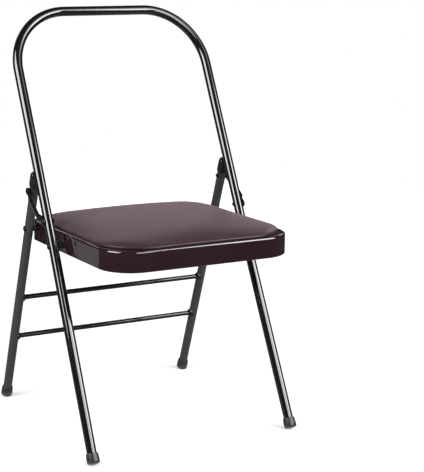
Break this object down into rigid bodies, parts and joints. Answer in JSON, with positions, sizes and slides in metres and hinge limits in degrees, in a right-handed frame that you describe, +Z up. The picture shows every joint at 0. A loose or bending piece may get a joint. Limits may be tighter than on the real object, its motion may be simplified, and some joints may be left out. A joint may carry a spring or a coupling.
{
  "type": "backless yoga chair",
  "caption": "Folding steel-tube chair with a padded seat and an open loop where the backrest would be, used as a yoga prop.",
  "frame": {"origin": "on the floor, under the middle of the open chair's outline", "axes": "+Z up, the chair faces -Y, and +X is at the right of a viewer in front of it"},
  "size_m": [0.4564, 0.4788, 0.808],
  "materials": {
    "gloss_black_enamel": "gloss black stoved enamel",
    "satin_black_enamel": "satin dark grey-black enamel",
    "plum_enamel": "gloss dark plum-brown enamel",
    "plum_vinyl": "soft-sheen plum-brown vinyl over foam",
    "plywood": "bare plywood",
    "black_rubber": "smooth black moulded rubber",
    "nylon": "black nylon",
    "zinc": "bright zinc plate",
    "black_steel": "black finished steel"
  },
  "bodies": {
    "front_frame": {"front_tube": "gloss_black_enamel", "front_foot_left": "black_rubber", "seat_bolt_left": "black_steel", "seat_bush_left": "nylon", "seat_nut_left": "zinc", "link_rivet_left": "black_steel", "link_washer_left": "nylon", "front_foot_right": "black_rubber", "seat_bolt_right": "black_steel", "seat_bush_right": "nylon", "seat_nut_right": "zinc", "link_rivet_right": "black_steel", "link_washer_right": "nylon"},
    "seat": {"seat_pan": "plum_enamel", "seat_board": "plywood", "seat_cushion": "plum_vinyl", "seat_brace": "plum_enamel", "hinge_plate_left": "plum_enamel", "hinge_plate_right": "plum_enamel", "cushion_screw_1": "zinc", "cushion_screw_2": "zinc", "cushion_screw_3": "zinc", "cushion_screw_4": "zinc"},
    "rear_frame": {"upper_rung": "gloss_black_enamel", "lower_rung": "gloss_black_enamel", "rear_leg_left": "satin_black_enamel", "rear_foot_left": "black_rubber", "leg_cap_left": "black_rubber", "rear_rivet_left": "black_steel", "rear_bush_left": "nylon", "link_stub_left": "black_steel", "rear_leg_right": "satin_black_enamel", "rear_foot_right": "black_rubber", "leg_cap_right": "black_rubber", "rear_rivet_right": "black_steel", "rear_bush_right": "nylon", "link_stub_right": "black_steel"},
    "left_link": {"link_left": "gloss_black_enamel", "link_head_left": "black_steel"},
    "right_link": {"link_right": "gloss_black_enamel", "link_head_right": "black_steel"}
  },
  "joints": [
    {"name": "seat_hinge", "type": "hinge", "parent": "front_frame", "child": "seat", "pos_m": [0, -0.01348, 0.37322], "axis": [1, 0, 0], "range_deg": [-111.75, 0]},
    {"name": "rear_hinge", "type": "hinge", "parent": "seat", "child": "rear_frame", "pos_m": [0, 0.10363, 0.38431], "axis": [1, 0, 0], "range_deg": [0, 66.37]},
    {"name": "left_link_hinge", "type": "hinge", "parent": "front_frame", "child": "left_link", "pos_m": [0, 0.00904, 0.41685], "axis": [1, 0, 0], "range_deg": [-136.45, 0]},
    {"name": "right_link_hinge", "type": "hinge", "parent": "front_frame", "child": "right_link", "pos_m": [0, 0.00904, 0.41685], "axis": [1, 0, 0], "range_deg": [-136.45, 0]}
  ],
  "couplings": [
    {"joint": "rear_hinge", "follows": "seat_hinge", "ratio": -0.59383},
    {"joint": "left_link_hinge", "follows": "seat_hinge", "ratio": 1.2209},
    {"joint": "right_link_hinge", "follows": "seat_hinge", "ratio": 1.2209}
  ]
}
